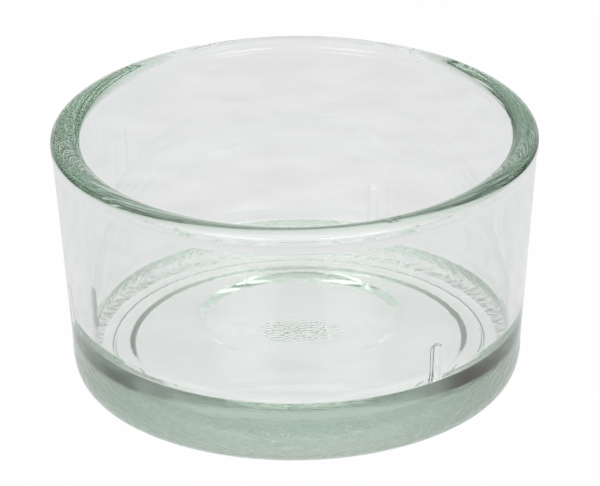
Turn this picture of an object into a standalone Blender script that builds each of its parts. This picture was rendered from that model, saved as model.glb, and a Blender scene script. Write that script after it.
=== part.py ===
"""Tealight holder: one pressed-glass cup, modelled in metres with +Z up.

The origin is the centre of the underside, on the surface that the cup stands on.
The cup is a turned shape: a thick base with a shallow recess under it, a wall that
widens upwards, and a rounded rim. Three short ribs stand on the inside wall.
"""

import math

import bmesh
import bpy
from mathutils import Matrix, Vector

MM = 0.001

# Driving dimensions
RIM_RADIUS = 40.0 * MM            # widest radius, at the mould's parting line
PARTING_HEIGHT = 40.65 * MM
RIM_UPRIGHT = 0.9 * MM            # above the parting line the rim stands upright this far
RIM_BASE = PARTING_HEIGHT + RIM_UPRIGHT
RIM_HALF_WIDTH = 2.3 * MM         # then it is rounded over
RIM_RISE = 1.25 * MM
FOOT_RADIUS = 37.25 * MM          # outside wall, where the bottom corner starts
CORNER_HEIGHT = 6.3 * MM
CORNER_WIDTH = 3.3 * MM
CORNER_SQUARENESS = 2.7           # 2 is a true ellipse, more is fuller
FLOOR_HEIGHT = 10.6 * MM
WELL_RADIUS = 34.2 * MM           # inside wall, where it meets the upper bevel
BEVEL_RISES = (1.9 * MM, 1.1 * MM, 0.3 * MM)    # two narrow bevels lead to the floor
BEVEL_INSETS = (0.0, 0.15 * MM, 0.4 * MM)
FLOOR_FILLET = 0.3 * MM
DISH_RADIUS = 17.0 * MM           # shallow dish in the middle of the inside floor
DISH_DEPTH = 0.9 * MM
DISH_SLOPE = 1.5 * MM
DISH_EDGE_DEPTH = 0.5 * MM        # below its edge the dish hollows on to its full depth
RING_INNER_RADIUS = 28.0 * MM     # the flat ring that the cup stands on
RING_OUTER_RADIUS = 31.9 * MM
RECESS_SLOPE = 1.5 * MM           # inside the ring, a shallow recess
RECESS_DEPTH = 0.6 * MM
RELIEF_SLOPE = 0.8 * MM           # outside it, the base stands clear by the relief
RELIEF_HEIGHT = 0.12 * MM

RIB_COUNT = 3
RIB_FIRST_ANGLE = -52.0           # degrees round from +X; the front is -Y
RIB_RADIUS = 1.2 * MM
RIB_PROUD = 0.8 * MM              # how far a rib stands out of the wall
RIB_TOP = 17.9 * MM
RIB_SUNK = 2.0 * MM               # how far its foot runs into the base

TURN_STEPS = 72
RIM_STEPS = 6
CORNER_STEPS = 7
FILLET_STEPS = 3
DISH_STEPS = 4
RIB_SIDES = 16
RIB_DOME_STEPS = 4

GLASS_COLOUR = (0.72, 0.84, 0.76, 1.0)


def clear_scene():
    for existing in list(bpy.data.objects):
        bpy.data.objects.remove(existing)


def glass_material():
    material = bpy.data.materials.new("greenish_glass")
    material.use_nodes = True
    shader = material.node_tree.nodes["Principled BSDF"]
    shader.inputs["Base Color"].default_value = GLASS_COLOUR
    shader.inputs["Roughness"].default_value = 0.05
    shader.inputs["Metallic"].default_value = 0.0
    shader.inputs["IOR"].default_value = 1.52
    shader.inputs["Transmission Weight"].default_value = 1.0
    return material


def quarter(centre, width, height, start_degrees, steps, squareness=2.0):
    """Points of a quarter round about centre, both ends included, anticlockwise."""
    points = []
    for step in range(steps + 1):
        angle = math.radians(start_degrees + 90.0 * step / steps)
        along = math.copysign(abs(math.cos(angle)) ** (2.0 / squareness), math.cos(angle))
        up = math.copysign(abs(math.sin(angle)) ** (2.0 / squareness), math.sin(angle))
        points.append((centre[0] + width * along, centre[1] + height * up))
    return points


def underside_points():
    return [
        (0.0, RECESS_DEPTH),
        (RING_INNER_RADIUS - RECESS_SLOPE, RECESS_DEPTH),
        (RING_INNER_RADIUS, 0.0),
        (RING_OUTER_RADIUS, 0.0),
        (RING_OUTER_RADIUS + RELIEF_SLOPE, RELIEF_HEIGHT),
    ]


def outside_points():
    corner_centre = (FOOT_RADIUS - CORNER_WIDTH, CORNER_HEIGHT)
    corner_rise = CORNER_HEIGHT - RELIEF_HEIGHT
    corner = quarter(
        corner_centre, CORNER_WIDTH, corner_rise, -90.0, CORNER_STEPS, CORNER_SQUARENESS
    )
    rim_centre = (RIM_RADIUS - RIM_HALF_WIDTH, RIM_BASE)
    rim = quarter(rim_centre, RIM_HALF_WIDTH, RIM_RISE, 0.0, RIM_STEPS)
    return corner + [(RIM_RADIUS, PARTING_HEIGHT)] + rim


def dish_points():
    """The dish's edge slope, then its shallow hollow in to the axis."""
    edge_radius = DISH_RADIUS - DISH_SLOPE
    edge_height = FLOOR_HEIGHT - DISH_EDGE_DEPTH
    hollow = DISH_DEPTH - DISH_EDGE_DEPTH
    points = [(DISH_RADIUS, FLOOR_HEIGHT)]
    for step in range(DISH_STEPS + 1):
        share = 1.0 - step / DISH_STEPS
        points.append((edge_radius * share, edge_height - hollow * (1.0 - share**2)))
    return points


def inside_points():
    rim_centre = (RIM_RADIUS - RIM_HALF_WIDTH, RIM_BASE)
    rim = quarter(rim_centre, RIM_HALF_WIDTH, RIM_RISE, 90.0, RIM_STEPS)
    bevels = [
        (WELL_RADIUS - inset, FLOOR_HEIGHT + rise)
        for rise, inset in zip(BEVEL_RISES, BEVEL_INSETS)
    ]
    fillet_centre = (bevels[-1][0] - FLOOR_FILLET, bevels[-1][1])
    fillet = quarter(fillet_centre, FLOOR_FILLET, FLOOR_FILLET, -90.0, FILLET_STEPS)
    return rim[1:] + bevels[:-1] + fillet[::-1] + dish_points()


def cup_mesh():
    """The turned cup: its half outline spun once round the Z axis."""
    mesh = bpy.data.meshes.new("glass_cup")
    body = bmesh.new()
    outline = [
        body.verts.new((radius, 0.0, height))
        for radius, height in underside_points() + outside_points() + inside_points()
    ]
    edges = [body.edges.new(pair) for pair in zip(outline, outline[1:])]
    bmesh.ops.spin(
        body,
        geom=outline + edges,
        cent=(0.0, 0.0, 0.0),
        axis=(0.0, 0.0, 1.0),
        angle=math.tau,
        steps=TURN_STEPS,
        use_duplicate=False,
    )
    bmesh.ops.remove_doubles(body, verts=body.verts, dist=0.002 * MM)
    bmesh.ops.recalc_face_normals(body, faces=body.faces)
    body.to_mesh(mesh)
    body.free()
    return mesh


def rib_axis_points():
    """Foot and dome centre of a rib that stands at +X, leaning with the wall."""
    mouth_radius = RIM_RADIUS - 2 * RIM_HALF_WIDTH
    wall_foot = FLOOR_HEIGHT + BEVEL_RISES[0]
    wall_slope = (mouth_radius - WELL_RADIUS) / (RIM_BASE - wall_foot)
    inset = RIB_RADIUS - RIB_PROUD
    points = []
    for height in (FLOOR_HEIGHT - RIB_SUNK, RIB_TOP - RIB_RADIUS):
        wall = WELL_RADIUS + wall_slope * (height - wall_foot)
        points.append(Vector((wall + inset, 0.0, height)))
    return points


def rib_mesh():
    """A round bar with a domed top, from inside the base up the inside wall."""
    foot, dome_centre = rib_axis_points()
    mesh = bpy.data.meshes.new("rib")
    body = bmesh.new()
    centres = [foot]
    radii = [RIB_RADIUS]
    for step in range(RIB_DOME_STEPS):
        angle = math.radians(90.0 * step / RIB_DOME_STEPS)
        centres.append(dome_centre + Vector((0.0, 0.0, RIB_RADIUS * math.sin(angle))))
        radii.append(RIB_RADIUS * math.cos(angle))
    rings = []
    for centre, radius in zip(centres, radii):
        made = bmesh.ops.create_circle(
            body, segments=RIB_SIDES, radius=radius, matrix=Matrix.Translation(centre)
        )
        rings.append(made["verts"])
    for lower, upper in zip(rings, rings[1:]):
        for side in range(RIB_SIDES):
            after = (side + 1) % RIB_SIDES
            body.faces.new((lower[side], lower[after], upper[after], upper[side]))
    tip = body.verts.new(dome_centre + Vector((0.0, 0.0, RIB_RADIUS)))
    for side in range(RIB_SIDES):
        body.faces.new((rings[-1][side], rings[-1][(side + 1) % RIB_SIDES], tip))
    body.faces.new(rings[0])
    bmesh.ops.recalc_face_normals(body, faces=body.faces)
    body.to_mesh(mesh)
    body.free()
    return mesh


def add_object(name, mesh):
    made = bpy.data.objects.new(name, mesh)
    bpy.context.scene.collection.objects.link(made)
    return made


def add_ribs(cup):
    """Join the ribs into the cup's glass, evenly round the inside wall."""
    mesh = rib_mesh()
    for index in range(RIB_COUNT):
        rib = add_object(f"rib_guide_{index + 1}", mesh)
        rib.rotation_euler.z = math.radians(RIB_FIRST_ANGLE + 360.0 * index / RIB_COUNT)
        rib.hide_render = True
        rib.display_type = "WIRE"
        joined = cup.modifiers.new(f"rib_{index + 1}", "BOOLEAN")
        joined.operation = "UNION"
        joined.solver = "EXACT"
        joined.object = rib


def build_cup():
    mesh = cup_mesh()
    mesh.materials.append(glass_material())
    mesh.shade_smooth()
    mesh.set_sharp_from_angle(angle=math.radians(30.0))
    add_ribs(add_object("glass_cup", mesh))


clear_scene()
build_cup()
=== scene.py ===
"""Looks of the pressed-glass tealight holder: fine glass mesh, glass, floor and light."""

import math

import bpy
import numpy as np
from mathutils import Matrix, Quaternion, Vector


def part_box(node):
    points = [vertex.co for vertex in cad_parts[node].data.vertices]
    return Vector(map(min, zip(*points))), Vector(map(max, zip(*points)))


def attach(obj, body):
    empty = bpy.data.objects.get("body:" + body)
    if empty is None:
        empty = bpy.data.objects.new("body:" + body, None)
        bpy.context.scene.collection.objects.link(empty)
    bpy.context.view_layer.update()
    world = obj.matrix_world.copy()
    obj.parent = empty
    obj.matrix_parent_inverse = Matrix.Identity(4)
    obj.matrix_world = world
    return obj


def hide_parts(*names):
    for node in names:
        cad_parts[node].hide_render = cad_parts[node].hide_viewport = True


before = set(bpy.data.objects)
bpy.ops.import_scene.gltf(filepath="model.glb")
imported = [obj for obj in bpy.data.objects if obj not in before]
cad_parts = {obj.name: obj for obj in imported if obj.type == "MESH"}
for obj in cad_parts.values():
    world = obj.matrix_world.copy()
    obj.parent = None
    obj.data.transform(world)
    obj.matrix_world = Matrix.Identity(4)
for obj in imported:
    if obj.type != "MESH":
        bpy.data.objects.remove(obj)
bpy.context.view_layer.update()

MM = 0.001

# The cup's outline, in metres, as the CAD part has it
cup_low, cup_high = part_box("glass_cup")
RIM_RADIUS = (cup_high[0] - cup_low[0]) / 2
PARTING_HEIGHT = 40.65 * MM
RIM_UPRIGHT = 0.9 * MM            # above the parting line the rim stands upright this far
RIM_BASE = PARTING_HEIGHT + RIM_UPRIGHT
RIM_HALF_WIDTH = 2.3 * MM         # then it is rounded over
RIM_RISE = 1.25 * MM
HEIGHT = RIM_BASE + RIM_RISE
FOOT_RADIUS = 37.25 * MM
CORNER_HEIGHT = 6.3 * MM
CORNER_WIDTH = 3.3 * MM
CORNER_SQUARENESS = 2.7           # 2 is a true ellipse, more is fuller
FLOOR_HEIGHT = 10.6 * MM
WELL_RADIUS = 34.2 * MM           # inside wall, where it meets the upper bevel
FLOOR_FILLET = 0.3 * MM
BEVEL_RISES = (1.9 * MM, 1.1 * MM)    # two narrow bevels lead from the wall to the floor
BEVEL_INSETS = (0.15 * MM, 0.4 * MM)
DISH_RADIUS = 17.0 * MM
DISH_DEPTH = 0.9 * MM
DISH_SLOPE = 1.5 * MM
DISH_EDGE_DEPTH = 0.5 * MM        # below its edge the dish hollows on to its full depth
RING_INNER_RADIUS = 28.0 * MM     # the flat ring that the cup stands on
RING_OUTER_RADIUS = 31.9 * MM
RECESS_SLOPE = 1.5 * MM
RECESS_DEPTH = 0.6 * MM
RELIEF_SLOPE = 0.8 * MM
GROOVE_RADIUS = 30.3 * MM         # a fine groove in the middle of the ring
GROOVE_WIDTH = 0.4 * MM           # either side of its middle
GROOVE_DEPTH = 0.14 * MM
RELIEF_HEIGHT = 0.12 * MM         # the base outside the ring stands clear by this

# The three ribs on the inside wall
RIB_COUNT = 3
RIB_FIRST_ANGLE = math.radians(-52.0)
RIB_RADIUS = 1.2 * MM
RIB_PROUD = 0.8 * MM
RIB_TOP = 17.9 * MM

# Small traits of the pressing
SEAM_STEP = 0.2 * MM              # the ledge that the mould's parting line leaves
SEAM_WIDTH = 0.2 * MM
PLUNGER_SHIFT_FLOOR = 0.42 * MM   # the inside was pressed slightly off centre
PLUNGER_SHIFT_MOUTH = 0.25 * MM
WRINKLE_DEPTH = 0.16 * MM         # chill wrinkles in the middle of the underside
WRINKLE_REACH = (6.5 * MM, 4.5 * MM)
WRINKLE_SHIFT = 2.5 * MM

# How finely the cup is divided
PLAIN_COLUMNS = 270
RIB_COLUMNS = 30
RIB_REACH = 2.2 * MM              # either side of a rib's middle
AXIS_GAP = 0.3 * MM               # radius of the smallest ring, round the axis
WRINKLED_RADIUS = 9.0 * MM        # the underside has closer rings inside this

FLOOR_HALF_WIDTH = 3.0
FLOOR_GAP = 0.05 * MM             # the cup stands this far above the floor

# Camera
CAMERA_ELEVATION = math.radians(25.67)
CAMERA_DISTANCE = 0.9
CAMERA_LENS = 326.7
CAMERA_ROLL = math.radians(-0.65)
CAMERA_TARGET_HEIGHT = 22.0 * MM
CAMERA_AIM_RIGHT = 0.7 * MM
CAMERA_AIM_UP = 0.2 * MM

# Glass
GLASS_IOR = 1.52
ABSORPTION_PER_METRE = (7.5, 4.5, 6.9)
ABSORPTION_DENSITY = 100.0
WALL_TEXTURE = 0.004              # strength on the walls; 1 is the stipple round the foot
UNDER_TEXTURE = 0.04
TEXTURE_TOP = 9.0 * MM            # the stipple round the foot ends at this height
TEXTURE_FADE = 2.5 * MM
RIM_TEXTURE_FADE = 4.0 * MM       # below the parting line the wall's texture grows over this
BUMP_HEIGHT = 0.5 * MM
STIPPLE_SCALE = 600.0
STIPPLE_ROUGHNESS = 0.65
STIPPLE_FLATTEN = 2.2             # the stipple's grains are wider than they are tall

# Light: how brightly the floor, the room and the soft light shine
FLOOR_UNDER = 0.94                # under the cup, a painted pool of light brighter than beyond it
FLOOR_NEAR = 0.8                  # beyond it
FLOOR_RISE_FROM = 0.035           # the one passes into the other between these distances
FLOOR_RISE_TO = 0.05
FLOOR_CLOUD = 0.12                # how uneven the floor's light is
FLOOR_CLOUD_SCALE = 70.0
FLOOR_COLOUR = (1.0, 0.99, 1.01, 1.0)
ROOM_LIGHT = 0.25
BACKDROP_LIGHT = 0.75
SOFT_LIGHT = 1.3
# Dark cards behind the cup and soft boxes in front: where each one is, the cosines from that
# direction at which it starts and is full, and its colour
CARDS = (
    ((0.785, 0.453, 0.42), (0.92, 0.97), (0.16, 0.18, 0.17)),
    ((-0.785, 0.453, 0.42), (0.885, 0.955), (0.08, 0.0, 0.0)),
    ((0.394, -0.682, 0.616), (0.955, 0.98), (3.6, 3.6, 3.6)),
    ((-0.394, -0.682, 0.616), (0.955, 0.98), (3.6, 3.6, 3.6)),
)
LIGHT_LEAN = 0.6                  # how far the soft light comes round to the front


# ---------------------------------------------------------------- outline

def straight(start, end, steps):
    """Points from start towards end, without start, with end."""
    return [
        (start[0] + (end[0] - start[0]) * i / steps, start[1] + (end[1] - start[1]) * i / steps)
        for i in range(1, steps + 1)
    ]


def creased(start, end, steps):
    """As straight, with an extra point close to each end that keeps the corners there crisp."""
    near_start = straight(start, end, 20)[0]
    near_end = straight(start, end, 20)[-2]
    return [near_start] + straight(near_start, near_end, steps) + [end]


def quarter(centre, width, height, start_degrees, turn_degrees, steps, squareness=2.0):
    """Points round a quarter of an ellipse, squarer for a higher squareness, without the first."""
    points = []
    for i in range(1, steps + 1):
        angle = math.radians(start_degrees + turn_degrees * i / steps)
        along, up = math.cos(angle), math.sin(angle)
        along = math.copysign(abs(along) ** (2.0 / squareness), along)
        up = math.copysign(abs(up) ** (2.0 / squareness), up)
        points.append((centre[0] + width * along, centre[1] + height * up))
    return points


def soft_step(start, end, steps):
    """Points from start to end, down or up in a smooth S, without the first."""
    points = []
    for i in range(1, steps + 1):
        share = i / steps
        rise = (1.0 - math.cos(math.pi * share)) / 2
        points.append((start[0] + (end[0] - start[0]) * share, start[1] + (end[1] - start[1]) * rise))
    return points


def outside_outline():
    """Underside, bottom corner, wall and outer half of the rim, from the axis outwards and up."""
    points = [(AXIS_GAP, RECESS_DEPTH)]
    points += straight(points[-1], (WRINKLED_RADIUS, RECESS_DEPTH), 24)
    points += straight(points[-1], (RING_INNER_RADIUS - RECESS_SLOPE, RECESS_DEPTH), 10)
    points += soft_step(points[-1], (RING_INNER_RADIUS, 0.0), 8)
    points += straight(points[-1], (GROOVE_RADIUS - GROOVE_WIDTH, 0.0), 2)
    points += soft_step(points[-1], (GROOVE_RADIUS, GROOVE_DEPTH), 4)
    points += soft_step(points[-1], (GROOVE_RADIUS + GROOVE_WIDTH, 0.0), 4)
    points += straight(points[-1], (RING_OUTER_RADIUS, 0.0), 2)
    points += soft_step(points[-1], (RING_OUTER_RADIUS + RELIEF_SLOPE, RELIEF_HEIGHT), 6)
    points += straight(points[-1], (FOOT_RADIUS - CORNER_WIDTH, RELIEF_HEIGHT), 3)
    corner_centre = (FOOT_RADIUS - CORNER_WIDTH, CORNER_HEIGHT)
    corner_rise = CORNER_HEIGHT - RELIEF_HEIGHT
    points += quarter(corner_centre, CORNER_WIDTH, corner_rise, -90, 90, 22, CORNER_SQUARENESS)
    seam_low = (RIM_RADIUS - SEAM_STEP, PARTING_HEIGHT - SEAM_WIDTH)
    points += straight(points[-1], seam_low, 24)
    points += straight(seam_low, (RIM_RADIUS, PARTING_HEIGHT), 3)
    points += straight(points[-1], (RIM_RADIUS, RIM_BASE), 4)
    rim_centre = (RIM_RADIUS - RIM_HALF_WIDTH, RIM_BASE)
    points += quarter(rim_centre, RIM_HALF_WIDTH, RIM_RISE, 0, 90, 24)
    return points


def inside_outline():
    """Inner half of the rim, inside wall, fillet, floor and dish, down and in to the axis."""
    rim_centre = (RIM_RADIUS - RIM_HALF_WIDTH, RIM_BASE)
    points = quarter(rim_centre, RIM_HALF_WIDTH, RIM_RISE, 90, 90, 24)
    wall_foot = (WELL_RADIUS, FLOOR_HEIGHT + BEVEL_RISES[0])
    mouth_radius = RIM_RADIUS - 2 * RIM_HALF_WIDTH
    slope = (mouth_radius - WELL_RADIUS) / (RIM_BASE - wall_foot[1])
    for height, steps in ((RIB_TOP + 0.4 * MM, 20), (RIB_TOP - 1.6 * MM, 14)):
        points += straight(points[-1], (WELL_RADIUS + slope * (height - wall_foot[1]), height), steps)
    points += creased(points[-1], wall_foot, 6)
    points += creased(wall_foot, (WELL_RADIUS - BEVEL_INSETS[0], FLOOR_HEIGHT + BEVEL_RISES[1]), 3)
    bevel_foot = (WELL_RADIUS - BEVEL_INSETS[1], FLOOR_HEIGHT + FLOOR_FILLET)
    points += creased(points[-1], bevel_foot, 3)
    fillet_centre = (bevel_foot[0] - FLOOR_FILLET, bevel_foot[1])
    points += quarter(fillet_centre, FLOOR_FILLET, FLOOR_FILLET, 0, -90, 6)
    points += straight(points[-1], (DISH_RADIUS, FLOOR_HEIGHT), 12)
    edge_radius = DISH_RADIUS - DISH_SLOPE
    edge_height = FLOOR_HEIGHT - DISH_EDGE_DEPTH
    points += creased(points[-1], (edge_radius, edge_height), 6)
    hollow = DISH_DEPTH - DISH_EDGE_DEPTH
    for step in range(1, 25):
        radius = edge_radius + (AXIS_GAP - edge_radius) * step / 24
        points.append((radius, edge_height - hollow * (1.0 - (radius / edge_radius) ** 2)))
    return points


# ---------------------------------------------------------------- surface

def rib_angles():
    return [RIB_FIRST_ANGLE + math.tau * i / RIB_COUNT for i in range(RIB_COUNT)]


def around(angle, middle):
    """Signed angle from middle, between -pi and pi."""
    return (angle - middle + math.pi) % math.tau - math.pi


def column_angles():
    """Angles round the cup: even ones, and closer ones across each rib."""
    even = np.arange(PLAIN_COLUMNS) * math.tau / PLAIN_COLUMNS
    half_width = RIB_REACH / WELL_RADIUS
    keep = np.ones(len(even), dtype=bool)
    close = []
    for middle in rib_angles():
        keep &= np.abs(around(even, middle)) > half_width
        close.append(middle + np.linspace(-half_width, half_width, RIB_COLUMNS))
    angles = np.concatenate([even[keep]] + close) % math.tau
    return np.sort(angles)


def rib_swell(angle, radius, height):
    """How far the inside wall stands in at each point, for the ribs."""
    buried = RIB_RADIUS - RIB_PROUD
    above = np.maximum(height - (RIB_TOP - RIB_RADIUS), 0.0)
    foot = np.clip((height - FLOOR_HEIGHT) / FLOOR_FILLET, 0.0, 1.0)
    swell = np.zeros_like(radius)
    for middle in rib_angles():
        across = around(angle, middle) * radius
        inside = RIB_RADIUS ** 2 - across ** 2 - above ** 2
        swell = np.maximum(swell, np.sqrt(np.maximum(inside, 0.0)) - buried)
    return swell * foot


def wrinkles(x, y):
    """Height of the chill wrinkles near the middle of the underside."""
    y = y - WRINKLE_SHIFT
    reach = np.sqrt((x / WRINKLE_REACH[0]) ** 2 + (y / WRINKLE_REACH[1]) ** 2)
    fade = np.clip(1.2 - reach, 0.0, 1.0)
    across = y / MM + 0.5 * np.sin(1.1 * x / MM) + 0.3 * np.sin(2.3 * x / MM + 1.0)
    ridges = np.sin(6.1 * across) + 0.6 * np.sin(9.7 * across + 1.9 * np.sin(1.7 * x / MM))
    return WRINKLE_DEPTH * fade * ridges


def grid(points, angles):
    outline = np.array(points)
    radius = np.repeat(outline[:, 0:1], len(angles), axis=1)
    height = np.repeat(outline[:, 1:2], len(angles), axis=1)
    angle = np.repeat(angles[None, :], len(outline), axis=0)
    return radius, height, angle


def outside_rows(angles):
    radius, height, angle = grid(outside_outline(), angles)
    x, y = radius * np.cos(angle), radius * np.sin(angle)
    underside = radius < RING_INNER_RADIUS - RECESS_SLOPE
    height = height + np.where(underside, wrinkles(x, y), 0.0)
    return np.stack([x, y, height], axis=-1)


def inside_rows(angles):
    radius, height, angle = grid(inside_outline(), angles)
    radius = radius - rib_swell(angle, radius, height)
    down = np.clip((RIM_BASE - height) / (RIM_BASE - FLOOR_HEIGHT), 0.0, 1.0)
    lip = np.clip((HEIGHT - height) / RIM_RISE, 0.0, 1.0)
    shift = lip * PLUNGER_SHIFT_MOUTH + down * (PLUNGER_SHIFT_FLOOR - PLUNGER_SHIFT_MOUTH)
    return np.stack([radius * np.cos(angle) + shift, radius * np.sin(angle), height], axis=-1)


def cup_mesh():
    """One closed surface: rings from the underside's middle, over the rim, to the dish's middle."""
    angles = column_angles()
    rows = np.concatenate([outside_rows(angles), inside_rows(angles)])
    count, columns = rows.shape[:2]
    vertices = rows.reshape(-1, 3).tolist()
    bottom_middle = len(vertices)
    vertices.append((0.0, 0.0, RECESS_DEPTH))
    vertices.append(rows[-1].mean(axis=0).tolist())
    faces = []
    for row in range(count - 1):
        for column in range(columns):
            a = row * columns + column
            b = row * columns + (column + 1) % columns
            faces.append((a, b, b + columns, a + columns))
    last = (count - 1) * columns
    for column in range(columns):
        after = (column + 1) % columns
        faces.append((bottom_middle, after, column))
        faces.append((bottom_middle + 1, last + column, last + after))
    mesh = bpy.data.meshes.new("pressed_glass_cup")
    mesh.from_pydata(vertices, [], faces)
    mesh.shade_smooth()
    mesh.update()
    paint_texture(mesh)
    return mesh


def paint_texture(mesh):
    """How rough the mould left each place: most under the base, least on the rim."""
    places = np.empty(len(mesh.vertices) * 3)
    mesh.vertices.foreach_get("co", places)
    places = places.reshape(-1, 3)
    height = places[:, 2]
    radius = np.hypot(places[:, 0], places[:, 1])
    outside = (radius > WELL_RADIUS + 0.6 * (FOOT_RADIUS - WELL_RADIUS)) | (height < 2.0 * MM)
    low = np.clip((TEXTURE_TOP - height) / TEXTURE_FADE, 0.0, 1.0) * outside
    low = np.where(radius < RING_OUTER_RADIUS + RELIEF_SLOPE, low * UNDER_TEXTURE, low)
    smooth_rim = np.clip((PARTING_HEIGHT - height) / RIM_TEXTURE_FADE, 0.0, 1.0)
    texture = np.maximum(low, WALL_TEXTURE * smooth_rim)
    layer = mesh.attributes.new("texture", "FLOAT", "POINT")
    layer.data.foreach_set("value", texture)


# ---------------------------------------------------------------- materials

def glass_material():
    material = bpy.data.materials.new("greenish_pressed_glass")
    material.use_nodes = True
    nodes, links = material.node_tree.nodes, material.node_tree.links
    shader = nodes["Principled BSDF"]
    shader.inputs["Base Color"].default_value = (1.0, 1.0, 1.0, 1.0)
    shader.inputs["Roughness"].default_value = 0.0
    shader.inputs["IOR"].default_value = GLASS_IOR
    shader.inputs["Transmission Weight"].default_value = 1.0
    place = nodes.new("ShaderNodeTexCoord")
    stipple = nodes.new("ShaderNodeTexNoise")
    stipple.inputs["Scale"].default_value = STIPPLE_SCALE
    stipple.inputs["Detail"].default_value = 4.0
    stipple.inputs["Roughness"].default_value = STIPPLE_ROUGHNESS
    flatten = nodes.new("ShaderNodeMapping")
    flatten.inputs["Scale"].default_value = (1.0, 1.0, STIPPLE_FLATTEN)
    links.new(place.outputs["Object"], flatten.inputs["Vector"])
    links.new(flatten.outputs["Vector"], stipple.inputs["Vector"])
    amount = nodes.new("ShaderNodeAttribute")
    amount.attribute_name = "texture"
    bump = nodes.new("ShaderNodeBump")
    bump.inputs["Distance"].default_value = BUMP_HEIGHT
    links.new(amount.outputs["Fac"], bump.inputs["Strength"])
    links.new(stipple.outputs["Fac"], bump.inputs["Height"])
    links.new(bump.outputs["Normal"], shader.inputs["Normal"])
    tint = nodes.new("ShaderNodeVolumeAbsorption")
    tint.inputs["Density"].default_value = ABSORPTION_DENSITY
    colour = [1.0 - share / ABSORPTION_DENSITY for share in ABSORPTION_PER_METRE]
    tint.inputs["Color"].default_value = (*colour, 1.0)
    links.new(tint.outputs["Volume"], nodes["Material Output"].inputs["Volume"])
    return material


def floor_material():
    material = bpy.data.materials.new("pale_floor")
    material.use_nodes = True
    nodes, links = material.node_tree.nodes, material.node_tree.links
    nodes.remove(nodes["Principled BSDF"])
    place = nodes.new("ShaderNodeTexCoord")
    far = nodes.new("ShaderNodeVectorMath")
    far.operation = "LENGTH"
    links.new(place.outputs["Object"], far.inputs[0])
    # Painted light on the glowing floor: brighter under the cup than beyond it (a painted pool of
    # light), and made uneven by the cloud below
    shade = nodes.new("ShaderNodeMapRange")
    shade.interpolation_type = "SMOOTHSTEP"
    shade.inputs["From Min"].default_value = FLOOR_RISE_FROM
    shade.inputs["From Max"].default_value = FLOOR_RISE_TO
    shade.inputs["To Min"].default_value = FLOOR_UNDER
    shade.inputs["To Max"].default_value = FLOOR_NEAR
    links.new(far.outputs["Value"], shade.inputs["Value"])
    stretch = nodes.new("ShaderNodeMapping")
    stretch.inputs["Scale"].default_value = (1.0, 1.6, 1.0)
    links.new(place.outputs["Object"], stretch.inputs["Vector"])
    cloud = nodes.new("ShaderNodeTexNoise")
    cloud.inputs["Scale"].default_value = FLOOR_CLOUD_SCALE
    cloud.inputs["Detail"].default_value = 4.0
    links.new(stretch.outputs["Vector"], cloud.inputs["Vector"])
    uneven = nodes.new("ShaderNodeMapRange")
    uneven.inputs["To Min"].default_value = 1.0 - FLOOR_CLOUD
    uneven.inputs["To Max"].default_value = 1.0 + FLOOR_CLOUD
    links.new(cloud.outputs["Fac"], uneven.inputs["Value"])
    mottled = nodes.new("ShaderNodeMath")
    mottled.operation = "MULTIPLY"
    links.new(shade.outputs["Result"], mottled.inputs[0])
    links.new(uneven.outputs["Result"], mottled.inputs[1])
    # Camera rays see the floor plain white; all other rays see the painted light above
    path = nodes.new("ShaderNodeLightPath")
    pick = nodes.new("ShaderNodeMix")
    pick.data_type = "FLOAT"
    links.new(path.outputs["Is Camera Ray"], pick.inputs["Factor"])
    links.new(mottled.outputs["Value"], pick.inputs[2])
    pick.inputs[3].default_value = 1.0
    glow = nodes.new("ShaderNodeEmission")
    links.new(pick.outputs[0], glow.inputs["Strength"])
    glow.inputs["Color"].default_value = FLOOR_COLOUR
    links.new(glow.outputs["Emission"], nodes["Material Output"].inputs["Surface"])
    return material


# ---------------------------------------------------------------- pieces and stage

def add_object(name, data):
    made = bpy.data.objects.new(name, data)
    bpy.context.scene.collection.objects.link(made)
    return made


def build_cup():
    mesh = cup_mesh()
    mesh.materials.append(glass_material())
    cup = add_object("pressed_glass_cup", mesh)
    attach(cup, "root")
    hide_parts("glass_cup")


def build_floor():
    half = FLOOR_HALF_WIDTH
    gap = FLOOR_GAP
    mesh = bpy.data.meshes.new("floor")
    corners = [(-half, -half, -gap), (half, -half, -gap), (half, half, -gap), (-half, half, -gap)]
    mesh.from_pydata(corners, [], [(0, 1, 2, 3)])
    mesh.materials.append(floor_material())
    floor = add_object("floor", mesh)


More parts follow.
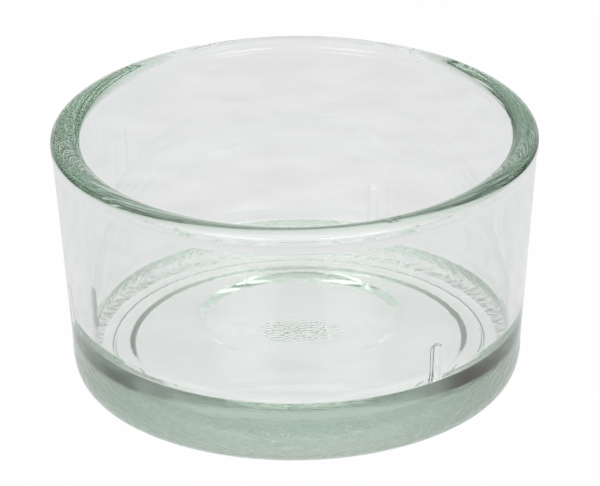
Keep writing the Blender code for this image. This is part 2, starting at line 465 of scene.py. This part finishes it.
def build_world():
    """A dim room behind the cup, rising to a large soft light above and in front of it."""
    world = bpy.data.worlds.new("soft_studio")
    bpy.context.scene.world = world
    world.use_nodes = True
    nodes, links = world.node_tree.nodes, world.node_tree.links
    sky = nodes["Background"]
    sky.inputs["Color"].default_value = (1.0, 1.0, 1.0, 1.0)
    place = nodes.new("ShaderNodeTexCoord")
    lean = nodes.new("ShaderNodeVectorMath")
    lean.operation = "DOT_PRODUCT"
    lean.inputs[1].default_value = (0.0, -LIGHT_LEAN, 1.0)
    links.new(place.outputs["Generated"], lean.inputs[0])
    rise = nodes.new("ShaderNodeMapRange")
    rise.inputs["From Min"].default_value = -0.1
    rise.inputs["From Max"].default_value = 1.1
    rise.inputs["To Min"].default_value = ROOM_LIGHT
    rise.inputs["To Max"].default_value = SOFT_LIGHT
    links.new(lean.outputs["Value"], rise.inputs["Value"])
    split = nodes.new("ShaderNodeSeparateXYZ")
    links.new(place.outputs["Generated"], split.inputs["Vector"])
    horizon = nodes.new("ShaderNodeMapRange")
    horizon.interpolation_type = "SMOOTHSTEP"
    horizon.inputs["From Min"].default_value = 0.22
    horizon.inputs["From Max"].default_value = 0.08
    links.new(split.outputs["Z"], horizon.inputs["Value"])
    light = nodes.new("ShaderNodeMix")
    light.data_type = "FLOAT"
    links.new(horizon.outputs["Result"], light.inputs["Factor"])
    links.new(rise.outputs["Result"], light.inputs[2])
    light.inputs[3].default_value = BACKDROP_LIGHT
    links.new(light.outputs[0], sky.inputs["Strength"])
    colour = None
    for towards, edge, card_colour in CARDS:
        near = nodes.new("ShaderNodeVectorMath")
        near.operation = "DOT_PRODUCT"
        near.inputs[1].default_value = Vector(towards).normalized()
        links.new(place.outputs["Generated"], near.inputs[0])
        cover = nodes.new("ShaderNodeMapRange")
        cover.interpolation_type = "SMOOTHSTEP"
        cover.inputs["From Min"].default_value = edge[0]
        cover.inputs["From Max"].default_value = edge[1]
        links.new(near.outputs["Value"], cover.inputs["Value"])
        mix = nodes.new("ShaderNodeMix")
        mix.data_type = "RGBA"
        mix.inputs[6].default_value = (1.0, 1.0, 1.0, 1.0)
        mix.inputs[7].default_value = (*card_colour, 1.0)
        links.new(cover.outputs["Result"], mix.inputs["Factor"])
        if colour:
            links.new(colour, mix.inputs[6])
        colour = mix.outputs[2]
    links.new(colour, sky.inputs["Color"])


def build_camera():
    data = bpy.data.cameras.new("camera")
    data.lens = CAMERA_LENS
    data.sensor_width = 36.0
    data.clip_start = 0.05
    data.clip_end = 50.0
    camera = add_object("camera", data)
    towards = Vector((0.0, -math.cos(CAMERA_ELEVATION), math.sin(CAMERA_ELEVATION)))
    up = Vector((0.0, math.sin(CAMERA_ELEVATION), math.cos(CAMERA_ELEVATION)))
    right = Vector((1.0, 0.0, 0.0))
    target = Vector((0.0, 0.0, CAMERA_TARGET_HEIGHT)) + CAMERA_AIM_RIGHT * right + CAMERA_AIM_UP * up
    camera.location = target + CAMERA_DISTANCE * towards
    camera.rotation_mode = "QUATERNION"
    level = (-towards).to_track_quat("-Z", "Y")
    camera.rotation_quaternion = level @ Quaternion((0.0, 0.0, 1.0), CAMERA_ROLL)
    bpy.context.scene.camera = camera


def set_view():
    scene = bpy.context.scene
    scene.view_settings.view_transform = "Standard"
    scene.cycles.max_bounces = 24
    scene.cycles.transmission_bounces = 24
    scene.cycles.glossy_bounces = 12


build_camera()
build_cup()
build_floor()
build_world()
set_view()
